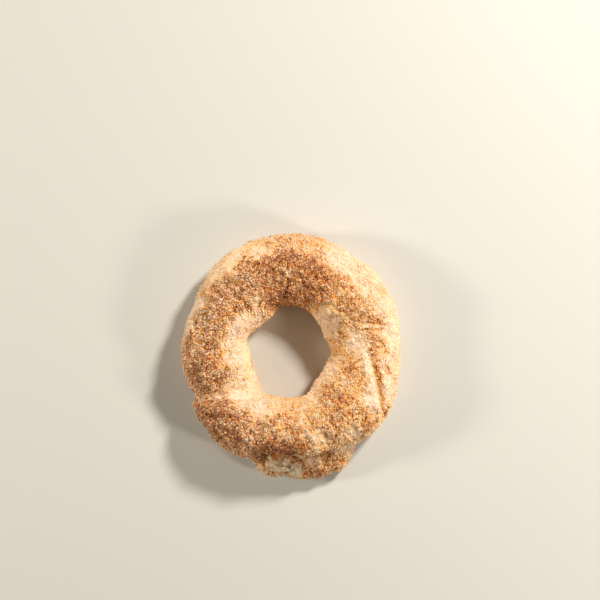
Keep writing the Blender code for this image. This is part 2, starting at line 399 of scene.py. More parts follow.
# %% The brown band along the crest
BROWN_RANGE = 1.6  # browning runs from 0 to this
BROWN_BAND = (
    (0, 22.0, 31.0, 0.24), (15, 22.5, 33.0, 0.3), (30, 20.6, 33.0, 0.46), (45, 20.5, 32.0, 0.46),
    (60, 20.0, 31.5, 0.64), (75, 20.0, 33.5, 0.79), (90, 19.8, 34.8, 1.06), (105, 20.8, 34.2, 1.03),
    (120, 22.0, 33.6, 0.82), (135, 22.0, 34.4, 0.68), (150, 21.5, 34.4, 0.68),
    (165, 22.0, 35.4, 0.7), (180, 22.5, 37.6, 0.73), (195, 23.0, 39.0, 0.84),
    (210, 25.5, 42.0, 0.98), (225, 24.5, 42.0, 0.98), (240, 23.0, 42.0, 0.72),
    (255, 21.5, 43.0, 0.5), (270, 21.0, 45.0, 0.44), (285, 21.5, 47.0, 0.42),
    (300, 18.0, 46.0, 0.38), (315, 16.0, 39.0, 0.42), (330, 17.0, 31.0, 0.44),
    (345, 18.0, 29.5, 0.38),
)

low_edge, high_edge, strength = round_the_ring(BROWN_BAND, bearing)
edge_wander = 2.2 * lumps(points, 4.5, 3) + 1.5 * lumps(points, 1.8, 4)
band = smooth_step(low_edge - 4.0, low_edge + 4.6, distance + edge_wander)
band *= 1 - smooth_step(high_edge - 2.0, high_edge + 2.4, distance + edge_wander)
print("the band covers", round(100 * float((band > 0.5).mean())), "% of the points")

# %% [markdown]
# The outer wall is browner at the left than at the right, and at the upper left it is bare,
# smooth dough. Each row is a bearing and how brown, or how bare, the wall is there. The wall
# round the hole browns half as much, and all of it fades down to the tray.

# %% The walls
WALL_BROWN = (
    (0, 0.12), (30, 0.14), (60, 0.18), (90, 0.34), (110, 0.26), (125, 0.16), (150, 0.13),
    (165, 0.26), (185, 0.44), (210, 0.74), (235, 0.76), (252, 0.5), (270, 0.3), (300, 0.18),
    (330, 0.2),
)
BARE_WALL = (
    (0, 0.0), (95, 0.0), (108, 0.9), (132, 0.9), (146, 0.5), (160, 0.3), (172, 0.0),
)

(bare,) = round_the_ring(BARE_WALL, bearing)
bare = bare * smooth_step(0.76, 0.90, across + 0.1 * lumps(points, 4.0, 41))
(wall_brown,) = round_the_ring(WALL_BROWN, bearing)
wall_brown = wall_brown * np.where(across > 0.5, 1.0, 0.5)
wall_brown = wall_brown * smooth_step(0.5, 7.0, points[:, 2] + 1.5 * lumps(points, 5.0, 39))
print("bare points:", int((bare > 0.5).sum()))

# %% [markdown]
# Noise alone would give some cookie of this kind. The patches give this one: each row is a place, its
# radius and how much browner (+) or paler (-) it is than the band or wall round it. A few of them are
# painted shade or painted light rather than browning, as marked in the tables.

# %% Patches on the crest and the walls
BROWN_PATCHES = (
    ((30.0, 23.0), 7.0, 0.14), ((-24.0, 22.0), 4.0, 0.2), ((-28.0, 14.0), 3.5, 0.15),
    ((-27.0, 3.0), 3.5, 0.15), ((-15.5, 17.0), 2.5, 0.3), ((-9.0, 27.5), 4.0, 0.22),
    ((8.0, 26.5), 4.5, 0.28), ((13.5, 25.5), 3.5, 0.22), ((-2.0, 20.0), 3.0, 0.25),
    ((6.0, 19.0), 3.5, 0.25), ((20.0, 15.0), 3.5, 0.22), ((26.0, 11.5), 3.0, 0.15),
    ((17.5, 6.3), 2.2, 0.15), ((21.0, -5.0), 3.2, 0.3), ((12.5, -13.5), 2.8, 0.35),
    ((17.0, -15.5), 3.5, 0.3), ((15.0, -22.0), 3.5, 0.2), ((31.5, -20.0), 3.0, 0.35),
    ((34.5, -19.0), 2.5, 0.3), ((-25.5, -18.6), 4.0, 0.34), ((-31.5, -18.2), 3.0, 0.22),
    ((-22.0, -27.0), 4.0, 0.12), ((-17.0, -27.5), 3.0, 0.2), ((1.5, -25.5), 2.5, 0.25),
    # on the next line: the first two patches are painted shade on the slope under the lap's edge
    ((-6.5, -33.2), 3.6, 0.95), ((-1.5, -33.6), 2.6, 0.7), ((3.5, -32.0), 3.0, 0.25),
    # on the next line: (12.6, -33.6) is painted shade in the crease at the tail's lobe, and (8.5, -35.4) is
    # painted light at the foot of the lap
    ((14.5, -31.5), 2.5, 0.15), ((12.6, -33.6), 1.3, 0.6), ((8.5, -35.4), 2.6, -0.1),
    ((17.6, -36.6), 2.0, 0.45), ((13.6, -37.6), 1.8, 0.35), ((-25.0, -6.5), 3.0, 0.2),
    ((-31.0, -5.0), 4.0, 0.12), ((-13.0, 21.5), 2.6, -0.3), ((-16.0, 12.0), 3.0, -0.3),
    ((-20.5, 9.0), 3.5, -0.35), ((-22.0, -1.0), 3.0, -0.3), ((-16.5, -18.5), 4.0, -0.28),
    ((-11.0, -21.5), 3.5, -0.22), ((7.5, -29.0), 2.2, -0.25), ((11.5, -27.5), 2.6, -0.25),
    # on the next line: (22.5, -26.4) and (13.6, -30.4) are painted light on the lap's lower right slope
    ((10.0, -20.5), 2.5, -0.15), ((22.5, -26.4), 4.0, -0.3), ((13.6, -30.4), 3.2, -0.28),
    ((2.0, -22.5), 2.5, -0.1), ((26.5, -15.5), 3.5, -0.35), ((17.0, -9.5), 2.8, -0.25),
    # on the next line: (20.2, -33.6) is painted light on the right end of the tail's lobe
    ((27.0, -5.0), 3.0, -0.35), ((22.5, 4.0), 4.5, -0.35), ((20.2, -33.6), 3.4, -0.3),
    # on the next line: (7.2, -36.0) is painted light at the foot of the lap
    ((27.6, -24.4), 2.4, 0.58), ((7.2, -36.0), 2.4, -0.25), ((-9.8, -39.2), 2.6, -0.25),
    # on the next line: (10.4, -36.8) is painted light at the foot of the lap
    ((10.4, -36.8), 1.8, -0.25), ((24.0, 20.5), 3.0, -0.15), ((-35.0, 9.0), 2.8, -0.45),
    ((-33.0, 16.5), 2.6, -0.4), ((-22.5, 15.5), 1.8, -0.35), ((-27.5, 8.5), 1.8, -0.25),
    ((-9.5, 23.5), 2.0, -0.22), ((2.0, 24.5), 2.2, -0.18), ((-20.0, -24.0), 2.2, -0.2),
    ((-3.0, -27.0), 2.4, -0.18), ((16.5, 21.5), 2.0, -0.2), ((20.5, -12.5), 2.2, -0.22),
)
WALL_PATCHES = (
    # on the next line: the first two are painted shade on the slope under the lap's edge, and the third is
    # painted shade in a crack of the lip
    ((-7.5, -33.8), 3.6, 1.6), ((-2.0, -33.8), 3.0, 1.4), ((-5.8, -41.0), 1.6, 0.3),
    # on the next line: the first two are painted shade on the wall at the back of the hole
    ((-4.0, 17.2), 4.5, 1.1), ((4.5, 17.0), 3.5, 0.65), ((0.0, 39.5), 5.0, 0.38),
    ((9.0, 38.8), 5.0, 0.38), ((-7.0, 38.5), 4.0, 0.28), ((0.0, -18.0), 5.0, 0.32),
    ((15.5, 2.0), 4.5, 0.25), ((20.0, 1.0), 6.0, 0.15), ((35.0, -6.0), 6.0, 0.1),
    ((-33.2, 14.4), 3.0, -0.25), ((9.5, -41.0), 3.0, 0.25), ((5.7, -41.8), 2.0, 0.2),
)


def with_patches(browning, table, where=1.0):
    """The browning with each patch of a table added, only where asked for."""
    for place, reach, change in table:
        away = np.linalg.norm(flat - place, axis=1)
        browning = browning + change * bell(away, reach) * where
    return browning


crest_brown = with_patches(band * strength, BROWN_PATCHES)
brown = crest_brown * on_top + wall_brown * (1 - on_top) + 0.10 * bare
brown = with_patches(brown, WALL_PATCHES, points[:, 2] > 1)
print(len(BROWN_PATCHES) + len(WALL_PATCHES), "patches")

# %% [markdown]
# Sugar that slid into the creases melted and browned there. Four lines are painted shade instead: two along
# the foot of the lap's edge, one in the crease at the tail's lobe and one in a groove at the back of the
# hole. Each row is a line of places, its half width and how much browner it is.

# %% Brown lines
BROWN_LINES = (
    # painted shade along the foot of the lap's edge, on this line and the next
    (((-12.0, -34.8), (-8.0, -35.2), (-4.5, -34.8)), 1.4, 0.6),
    (((-4.0, -34.6), (0.0, -35.4), (3.0, -36.8), (3.8, -38.0)), 1.0, 0.5),
    # painted shade in the crease at the tail's lobe
    (((12.2, -36.6), (12.6, -34.8), (14.4, -33.4)), 0.8, 0.6),
    (((-19.5, 20.8), (-16.0, 17.6), (-12.8, 13.6)), 1.3, 0.22),
    # painted shade in a groove at the back of the hole
    (((-2.6, 20.5), (-3.4, 17.8)), 1.2, 0.45),
    (((28.6, 6.0), (28.8, 0.0), (29.4, -4.0), (30.4, -8.0)), 1.1, 0.38),
    (((30.4, -8.0), (30.9, -15.1), (32.7, -21.0)), 1.0, 0.32),
    (((-17.6, 30.9), (-16.4, 32.0), (-15.2, 33.8)), 0.6, 1.1),
    (((32.4, -4.2), (34.0, -6.6)), 0.6, 0.4), (((16.0, 7.0), (19.5, 5.9)), 0.9, 0.35),
    (((31.4, 4.5), (33.4, 1.6)), 1.2, 0.3), (((3.2, -31.6), (5.5, -33.4)), 1.2, 0.25),
)

wobble = wander(points, 1.8, 37)
for line, half_width, change in BROWN_LINES:
    away, along = distance_to_line(flat + 0.5 * min(half_width, 1.2) * wobble, line)
    brown += change * bell(away, half_width) * faces_up
print(len(BROWN_LINES), "lines")

# %% [markdown]
# Blotches of a few millimetres break all of it up. They are strongest on brown crust and
# on the left side of the ring.

# %% Blotches
BLOTCHY_LEFT = 0.6  # how much stronger the blotches are at the left

blotch = 0.16 * lumps(points, 5.5, 1) + 0.22 * lumps(points, 3.0, 2)
blotch *= 1 + BLOTCHY_LEFT * smooth_step(-5.0, -22.0, flat[:, 0])
spread = 0.42 + 0.58 * smooth_step(0.05, 0.5, brown)
brown = (brown + blotch * spread) * (1 - 0.9 * stretched_and_lit) * (1 - 0.7 * torn)
print("mean browning on top:", round(float(brown[on_top > 0.9].mean()), 3))

# %% [markdown]
# ### Where the sugar is, and how golden the crust is
#
# Sugar browns the crust under it, so the same field says where the grains lie: thick on the
# brown crest, in clumps, and hardly at all in creases, on torn or bare dough and underneath.
# Warmth moves the colour from pinkish (-1) to golden (+1). The wall round the hole is golden, most of all
# at the back, and so is the bare dough. On the wall that is partly the dough's own tone and partly painted
# shade: the gold is strongest at the back, where shade falls on the wall.

# %% Sugar and warmth
clumps = 0.25 + 1.5 * smooth_step(-0.35, 0.45, lumps(points, 1.7, 5) + 0.5 * lumps(points, 4.0, 6))
sugar_here = np.clip(0.16 + brown, 0, 1) * clumps * (0.35 + 0.65 * on_top) * (1 - 0.9 * bare)
sugar_here *= (1 - 0.97 * torn) * (1 - 0.85 * stretched_and_lit) * (1 - underside)
sugar_here *= (1 - 0.9 * crease) * (0.4 + 0.6 * smooth_step(-0.02, 0.14, across))

warm = 1.4 * lumps(points, 2.8, 23) + 0.8 * lumps(points, 1.3, 24)
# partly painted shade: the wall round the hole turns golden, most at the back where it lies in shade
warm += 1.3 * (0.40 - across) * (0.7 + 0.5 * np.sin(np.radians(bearing)))
warm += 0.5 * smooth_step(0.1, 0.3, brown) * smooth_step(0.65, 0.4, brown)
warm = np.clip(warm + 0.9 * bare, -1, 1)
print("golden points:", int((warm > 0.3).sum()), "pinkish points:", int((warm < -0.3).sum()))

# %% [markdown]
# ### Relief
#
# Close up, the crust has low waves, blisters where steam lifted it, knobs of sugar that sank in,
# and rough crumb where it tore. A displacement in the material would be lost in the export, so
# the points of the skin move in or out along their normals.

# %% Heights of the relief
BLISTER_HEIGHT = 0.38
KNOB_HEIGHT = 0.38
WAVE_HEIGHT = 0.58
CRUMB_HEIGHT = 0.32
PORE_DEPTH = 0.25

rough = (0.25 + 0.75 * np.clip(band + 0.35 * on_top, 0, 1)) * (1 - 0.6 * bare)
blisters = BLISTER_HEIGHT * smooth_step(0.2, 0.6, lumps(points, 2.2, 6))
knobs = KNOB_HEIGHT * lumps(points, 1.25, 7, 2)
waves = WAVE_HEIGHT * lumps(points, 3.8, 8, 2)
pores = PORE_DEPTH * smooth_step(0.35, 0.6, lumps(points, 1.3, 10))
crumb = torn * (CRUMB_HEIGHT * lumps(points, 2.0, 9, 2) - pores)
small_relief = (blisters + knobs) * rough * (1 - 0.7 * torn) + crumb
relief = fold_height * faces_up + waves * (0.2 + 0.8 * rough) + small_relief
relief *= smooth_step(0.1, 2.2, points[:, 2])
print("relief runs from", round(float(relief.min()), 2), "to", round(float(relief.max()), 2), "mm")

# %% [markdown]
# Hollows are a little browner and more golden than the knobs beside them. This is partly because melted
# sugar ran into them, and partly painted shade for the warm shade that falls in them.

# %% Brown and painted shade in the hollows
hollow = np.clip((0.08 - small_relief) / 0.45, -1, 1)
warm = np.clip(warm + 0.5 * np.maximum(hollow, 0), -1, 1)
mottle_and_shade = 0.36 * lumps(points, 1.5, 21, 2) + 0.30 * hollow
brown = np.clip(brown + mottle_and_shade * spread + 0.08 * np.maximum(hollow, 0), 0, BROWN_RANGE)
print("mean browning with the mottle:", round(float(brown[on_top > 0.9].mean()), 3))

# %% [markdown]
# The skin sits a little inside the solid's form, so that the grains on it end at the solid's
# box. What lay on the tray goes back to height 0 and stays flat.

# %% Move the skin
SKIN_INSET = 0.22
GRAIN_ROOM = 0.25
TRAY_BAND = 0.25  # points below this height lie on the tray

moved = points + normals * (relief - SKIN_INSET)[:, None]
moved = np.clip(moved, box_low + [GRAIN_ROOM, GRAIN_ROOM, 0.0], box_high - GRAIN_ROOM)
moved[:, 2] = np.where(points[:, 2] < TRAY_BAND, 0.0, moved[:, 2])
move_points(skin, moved * MM)
skin.shade_smooth()
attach(dough, "root")
print("points on the tray:", int((moved[:, 2] == 0).sum()))

# %% [markdown]
# The materials need these fields too. A named attribute carries one number a point from the
# mesh to a shader, with no picture and no layout of the skin.


# %% Keep the fields for the materials
def store(mesh, name, values):
    """Keeps one number a point under a name that a material can read."""
    layer = mesh.attributes.new(name, "FLOAT", "POINT")
    layer.data.foreach_set("value", np.asarray(values, dtype=np.float32))


store(skin, "brown", brown)
store(skin, "crease", crease * faces_up)
store(skin, "hollow", hollow)
store(skin, "warm", warm)
store(skin, "bleached", stretched_and_lit * faces_up)
store(skin, "torn", torn)
store(skin, "underside", underside)
print("attributes:", ", ".join(layer.name for layer in skin.attributes if layer.data_type == "FLOAT"))

# %% [markdown]
# ## Materials
#
# A material is a tree of nodes. Built by hand it takes dozens of clicks, and as code it takes
# many lines, so a few helpers make a node, set it and link it in one call. What several
# materials share goes into node groups, which give a colour or a number only.


# %% Helpers for shader nodes
def add_node(tree, kind, settings=None, **values):
    """A new node with its settings and its socket values; a socket given as a value is linked."""
    node = tree.nodes.new(kind)
    for name, setting in (settings or {}).items():
        setattr(node, name, setting)
    for name, value in values.items():
        socket = node.inputs[int(name[1:])] if name[0] == "_" else node.inputs[name.replace("_", " ")]
        if isinstance(value, bpy.types.NodeSocket):
            tree.links.new(value, socket)
        else:
            socket.default_value = value
    return node


def maths(tree, operation, first, second=0.0, clamp=False):
    settings = {"operation": operation, "use_clamp": clamp}
    return add_node(tree, "ShaderNodeMath", settings, _0=first, _1=second).outputs[0]


def mix_colours(tree, share, first, second, blend="MIX"):
    settings = {"data_type": "RGBA", "blend_type": blend}
    return add_node(tree, "ShaderNodeMix", settings, _0=share, _6=first, _7=second).outputs[2]


def attribute(tree, name):
    return add_node(tree, "ShaderNodeAttribute", {"attribute_name": name}).outputs["Fac"]


# %% More helpers for shader nodes
def ramp(tree, share, stops):
    """A colour ramp from (position, colour) stops."""
    node = add_node(tree, "ShaderNodeValToRGB", Fac=share)
    elements = node.color_ramp.elements
    while len(elements) < len(stops):
        elements.new(0.5)
    for element, (position, colour) in zip(elements, stops):
        element.position = position
        element.color = colour
    return node.outputs["Color"]


def map_range(tree, value, low, high, new_low=0.0, new_high=1.0):
    values = {"_0": value, "_1": low, "_2": high, "_3": new_low, "_4": new_high}
    return add_node(tree, "ShaderNodeMapRange", **values).outputs[0]


def noise_at(tree, place, size, detail=2.0, roughness=0.5):
    """Noise whose lumps are about that many millimetres across."""
    values = {"Vector": place, "Scale": 1 / (size * MM), "Detail": detail, "Roughness": roughness}
    return add_node(tree, "ShaderNodeTexNoise", **values).outputs["Fac"]


def add_sockets(group, names, direction, kind="Float"):
    for name in names:
        group.interface.new_socket(name, in_out=direction, socket_type="NodeSocket" + kind)


# %% [markdown]
# ### Colours
#
# Dough goes from cream through tan and russet to dark brown as it bakes, and melted sugar is amber. The
# darkest colour also serves as painted shade. Colours are judged on a screen, from 0 to 255, but Blender
# reckons with linear light, where middle tones are much lower numbers, so each colour is turned into those.


# %% The palette
def srgb(red, green, blue):
    """A colour as a screen shows it, 0 to 255, in the linear values that Blender works in."""

    def linear(value):
        value /= 255
        return value / 12.92 if value <= 0.04045 else ((value + 0.055) / 1.055) ** 2.4

    return (linear(red), linear(green), linear(blue), 1.0)


CREAM = srgb(242, 209, 180)
PALE = srgb(237, 196, 150)
TAN = srgb(234, 176, 105)
RUSSET = srgb(219, 143, 64)
BROWN = srgb(186, 102, 35)
DEEP = srgb(134, 71, 25)
# the darkest stop: the brownest spots of crust, and painted shade where the browning is pushed past deep
# brown under the lap's edge and on the wall at the back of the hole
SCORCHED_AND_SHADE = srgb(98, 50, 20)
PINK = srgb(244, 192, 156)
AMBER = srgb(206, 134, 46)
# the pale of stretched crust, also used for a painted highlight on the tail's lobe
BLEACHED = srgb(252, 219, 190)
SUGAR_LIGHT = srgb(250, 208, 162)
SUGAR_DARK = srgb(134, 72, 32)
CLEAR_GLAZE = srgb(250, 206, 156)
print("russet in linear values:", [round(value, 3) for value in RUSSET[:3]])

# %% [markdown]
# **Crust tone**: how brown and how golden a place is, turned into its colour. The dough and
# the sugar both use it, so that a grain matches the crust that it lies on.

# %% Node group: crust tone
CRUST_STOPS = (
    (0.0, CREAM), (0.125, PALE), (0.297, TAN), (0.453, RUSSET),
    (0.625, BROWN), (0.78, DEEP), (1.0, SCORCHED_AND_SHADE),
)
GOLDEN_TINT = (1.0, 0.98, 0.60, 1.0)


def make_tone_group():
    """Browning and warmth to a colour: pinkish where it is cool, golden where it is warm."""
    group = bpy.data.node_groups.new("crust tone", "ShaderNodeTree")
    add_sockets(group, ("Brown", "Warm"), "INPUT")
    add_sockets(group, ("Colour",), "OUTPUT", "Color")
    given = group.nodes.new("NodeGroupInput").outputs
    result = group.nodes.new("NodeGroupOutput").inputs
    base = ramp(group, maths(group, "DIVIDE", given["Brown"], BROWN_RANGE, clamp=True), CRUST_STOPS)
    golden = map_range(group, given["Warm"], 0.1, 0.9, 0.0, 0.55)
    golden = maths(group, "MULTIPLY", golden, map_range(group, given["Brown"], 0.0, 0.35, 0.55, 1.0))
    base = mix_colours(group, golden, base, GOLDEN_TINT, "MULTIPLY")
    pinkish = map_range(group, given["Warm"], -0.1, -0.9, 0.0, 0.22)
    group.links.new(mix_colours(group, pinkish, base, PINK), result["Colour"])
    return group


tone_group = make_tone_group()
print("node group:", tone_group.name, "with", len(tone_group.nodes), "nodes")

# %% [markdown]
# ** Baked crust**: the tone with sandy specks of about half a millimetre that are lighter or darker than what is round them, amber in the creases, and nearly white where it stretched and where a highlight is painted on the tail's lobe.
# The specks are crumbs too fine to be grains, so a cell pattern and a low bump do for them.

# %% Node group: baked crust
SPECK_SIZE = 0.62
LIGHT_SPECKS = 0.72  # cells above this share are light
DARK_SPECKS = 0.24  # cells below this share are dark


def speckled(group, place, brown, base):
    """The base colour with light and dark specks, and the distance in each speck's cell."""
    values = {"Vector": place, "Scale": 1 / (SPECK_SIZE * MM), "Randomness": 1.0}
    cells = add_node(group, "ShaderNodeTexVoronoi", **values)
    pick = add_node(group, "ShaderNodeSeparateColor", Color=cells.outputs["Color"]).outputs["Red"]
    sugared = map_range(group, brown, 0.05, 0.6, 0.06, 0.6)
    light = maths(group, "MULTIPLY", maths(group, "GREATER_THAN", pick, LIGHT_SPECKS), sugared)
    dark = maths(group, "MULTIPLY", maths(group, "LESS_THAN", pick, DARK_SPECKS), sugared)
    with_light = mix_colours(group, light, base, SUGAR_LIGHT)
    return mix_colours(group, dark, with_light, SUGAR_DARK), cells.outputs["Distance"]


def make_crust_group():
    group = bpy.data.node_groups.new("baked crust", "ShaderNodeTree")
    add_sockets(group, ("Brown", "Crease", "Warm", "Bleached"), "INPUT")
    add_sockets(group, ("Colour",), "OUTPUT", "Color")
    add_sockets(group, ("Roughness", "Height"), "OUTPUT")
    given = group.nodes.new("NodeGroupInput").outputs
    result = group.nodes.new("NodeGroupOutput").inputs
    place = add_node(group, "ShaderNodeTexCoord").outputs["Object"]

    fine = noise_at(group, place, 0.5, 2.0, 0.6)
    spread = map_range(group, given["Brown"], 0.0, 0.6, 0.35, 1.0)
    mixed = maths(group, "MULTIPLY", map_range(group, fine, 0.3, 0.7, -0.26, 0.26), spread)
    browned = maths(group, "ADD", given["Brown"], mixed)
    tone = add_node(group, "ShaderNodeGroup", {"node_tree": tone_group}, Brown=browned, Warm=given["Warm"])
    bleached = maths(group, "MULTIPLY", given["Bleached"], map_range(group, fine, 0.25, 0.6, 1.0, 0.55))
    base = mix_colours(group, bleached, tone.outputs["Colour"], BLEACHED)
    with_specks, cell_distance = speckled(group, place, given["Brown"], base)
    creased = mix_colours(group, maths(group, "MULTIPLY", given["Crease"], 0.85), with_specks, AMBER)

    group.links.new(creased, result["Colour"])
    group.links.new(map_range(group, fine, 0.2, 0.8, 0.55, 0.8), result["Roughness"])
    bumps = maths(group, "ADD", maths(group, "MULTIPLY", cell_distance, -0.6), fine)
    group.links.new(bumps, result["Height"])
    return group


crust_group = make_crust_group()
print("node group:", crust_group.name, "with", len(crust_group.nodes), "nodes")

# %% [markdown]
# The dough's material puts that crust together with the pale crumb of the torn lip and the
# evenly browned face that lay on the tray. Three materials on three sets of faces would meet
# in hard lines, so one material blends them by the fields.

# %% Dough material
CRUMB_STOPS = ((0.0, srgb(140, 112, 78)), (0.24, srgb(200, 176, 142)), (0.6, srgb(226, 205, 172)))
TRAY_STOPS = ((0.3, srgb(150, 92, 48)), (0.55, srgb(188, 126, 70)), (0.75, srgb(214, 158, 98)))
BUMP_HEIGHT = 0.3


def crumb_and_tray(tree, crust_colour):
    """The crust's colour with bare crumb where it tore and the tray side underneath."""
    place = add_node(tree, "ShaderNodeTexCoord").outputs["Object"]
    shade = map_range(tree, noise_at(tree, place, 1.3, 3.0, 0.65), 0.3, 0.7)
    # painted shade: the crumb is darker in its pits, by their depth
    shade = maths(tree, "SUBTRACT", shade, maths(tree, "MULTIPLY", attribute(tree, "hollow"), 0.4))
    torn_share = maths(tree, "MULTIPLY", attribute(tree, "torn"), 0.95)
    with_crumb = mix_colours(tree, torn_share, crust_colour, ramp(tree, shade, CRUMB_STOPS))
    tray_side = ramp(tree, noise_at(tree, place, 4.0, 5.0, 0.6), TRAY_STOPS)
    return mix_colours(tree, attribute(tree, "underside"), with_crumb, tray_side)


def make_dough_material():
    material = bpy.data.materials.new("baked_dough")
    material.use_nodes = True
    tree = material.node_tree
    shader = tree.nodes["Principled BSDF"]
    fields = {name.title(): attribute(tree, name) for name in ("brown", "crease", "warm", "bleached")}
    crust = add_node(tree, "ShaderNodeGroup", {"node_tree": crust_group}, **fields).outputs
    tree.links.new(crumb_and_tray(tree, crust["Colour"]), shader.inputs["Base Color"])
    tree.links.new(crust["Roughness"], shader.inputs["Roughness"])
    values = {"Strength": 0.9, "Distance": BUMP_HEIGHT * MM, "Height": crust["Height"]}
    bump = add_node(tree, "ShaderNodeBump", **values)
    tree.links.new(bump.outputs["Normal"], shader.inputs["Normal"])
    shader.inputs["Subsurface Weight"].default_value = 0.06
    shader.inputs["Subsurface Radius"].default_value = (1.0, 0.5, 0.25)
    shader.inputs["Subsurface Scale"].default_value = 1.2 * MM
    shader.inputs["Specular IOR Level"].default_value = 0.25
    return material


skin.materials.clear()
skin.materials.append(make_dough_material())
print("material:", skin.materials[0].name)

# %% [markdown]
# ## Sugar
#
# The cookie was covered with coarse sugar before baking. Each grain is a small rough block,
# partly sunk into the skin and turned at random. A particle system could scatter them, but
# its copies are not one mesh for the export, so each lot of grains is built as one mesh
# straight away. This cell picks the places, more of them where the weights are high.


# %% Places for the grains
def scatter(surface, weights, count, seed):
    """Random places on a mesh's faces, with the way up, the browning and the warmth there."""
    random = np.random.default_rng(seed)
    surface.calc_loop_triangles()
    corners = np.empty(len(surface.loop_triangles) * 3, dtype=np.int32)
    surface.loop_triangles.foreach_get("vertices", corners)
    corners = corners.reshape(-1, 3)
    where, facing = points_of(surface), normals_of(surface)
    a, b, c = (where[corners[:, i]] for i in range(3))
    area = np.linalg.norm(np.cross(b - a, c - a), axis=1)
    chance = area * weights[corners].mean(axis=1)
    chosen = random.choice(len(corners), size=count, p=chance / chance.sum())
    u, v = random.random((2, count, 1))
    over = u + v > 1
    u, v = np.where(over, 1 - u, u), np.where(over, 1 - v, v)
    spots = a[chosen] + u * (b - a)[chosen] + v * (c - a)[chosen]
    up = facing[corners[chosen]].mean(axis=1)
    tones = brown[corners[chosen]].mean(axis=1), warm[corners[chosen]].mean(axis=1)
    return spots, up / np.linalg.norm(up, axis=1)[:, None], tones, random


# %% [markdown]
# Sugar crystals are blocks, but rubbed and chipped ones. A cube would show its square corners
# in a close view, so each edge gets a length of its own and each corner is nudged.

# %% Shapes of the grains
BLOCK = np.array([(x, y, z) for x in (-1, 1) for y in (-1, 1) for z in (-1, 1)], dtype=float)
BLOCK_FACES = np.array([(0, 1, 3, 2), (4, 6, 7, 5), (0, 4, 5, 1), (2, 3, 7, 6), (0, 2, 6, 4), (1, 5, 7, 3)])
CHIPPING = 0.06  # how far corners are nudged, as a share of the grain


def random_turns(random, count):
    """Rotation matrices, spread evenly over all directions."""
    w, x, y, z = (q := random.normal(size=(4, count))) / np.linalg.norm(q, axis=0)
    return np.array([
        [1 - 2 * (y * y + z * z), 2 * (x * y - w * z), 2 * (x * z + w * y)],
        [2 * (x * y + w * z), 1 - 2 * (x * x + z * z), 2 * (y * z - w * x)],
        [2 * (x * z - w * y), 2 * (y * z + w * x), 1 - 2 * (x * x + y * y)],
    ]).transpose(2, 0, 1)


def chipped_blocks(random, size):
    """The eight corners of each grain, round its own middle, turned at random."""
    count = len(size)
    edges = size[:, None] * random.uniform(0.65, 1.0, (count, 3)) / 2
    nudges = random.normal(scale=CHIPPING, size=(count, 8, 3)) * size[:, None, None]
    shapes = BLOCK[None] * edges[:, None, :] + nudges
    return np.einsum("nij,nkj->nki", random_turns(random, count), shapes)


def block_mesh(name, corners):
    """One mesh of many blocks, eight corners each."""
    count = len(corners) // 8
    faces = (BLOCK_FACES[None] + 8 * np.arange(count)[:, None, None]).reshape(-1, 4)
    mesh = bpy.data.meshes.new(name)
    mesh.vertices.add(len(corners))
    mesh.vertices.foreach_set("co", (corners * MM).ravel())
    mesh.loops.add(faces.size)
    mesh.loops.foreach_set("vertex_index", faces.ravel().astype(np.int32))
    mesh.polygons.add(len(faces))
    mesh.polygons.foreach_set("loop_start", np.arange(0, faces.size, 4, dtype=np.int32))
    mesh.update(calc_edges=True)
    return mesh


# %% [markdown]
# Each grain keeps the browning and warmth of its place and a tint of its own, so that neighbours differ.
# They differ most at the left, where the lighter and darker tints paint glints and small shadows between
# the grains.

# %% Make a lot of grains
PAINTED_GLITTER_LEFT = 0.7  # how much more the tints differ at the left
SUGAR_INSET = 0.02


def make_grains(name, weights, count, sizes, lift, seed, material):
    """One mesh of grains: the smallest and largest size in mm, and how far they stand out."""
    spots, up, tones, random = scatter(skin, weights, count, seed)
    size = sizes[0] + (sizes[1] - sizes[0]) * random.random(count) ** 1.6
    shapes = chipped_blocks(random, size)
    lifts = lift * np.clip(0.3 + 1.4 * tones[0], 0, 1) * size
    corners = (shapes + (spots / MM + up * lifts[:, None])[:, None]).reshape(-1, 3)
    corners = np.clip(corners, box_low + [SUGAR_INSET, SUGAR_INSET, 0.0], box_high - SUGAR_INSET)
    mesh = block_mesh(name, corners)
    # painted glints and shade: the tints spread wider towards the left
    contrast = 1 + PAINTED_GLITTER_LEFT * smooth_step(10.0, -15.0, spots[:, 0] / MM)
    store(mesh, "tint", np.repeat(0.5 + contrast * (random.random(count) - 0.5), 8))
    store(mesh, "brown", np.repeat(tones[0], 8))
    store(mesh, "warm", np.repeat(np.clip(tones[1] + random.uniform(-0.7, 0.5, count), -1, 1), 8))
    grains = bpy.data.objects.new(name, mesh)
    bpy.context.scene.collection.objects.link(grains)
    mesh.materials.append(material)
    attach(grains, "root")
    print(name + ":", count, "grains,", 12 * count, "triangles")


# %% [markdown]
# Most grains took up fat and caramel from the dough and look like crust. A smaller lot stayed
# lighter and smoother and catches the light. Glass would be the first thought for sugar, but
# at half a millimetre it only adds noise. A light glaze over the crust's tone, some
# light under the surface and a smoother finish look the same from a hand's distance.

# %% Sugar materials
BROWNEST_GRAIN = 1.22  # the sugar doesn't brown past this


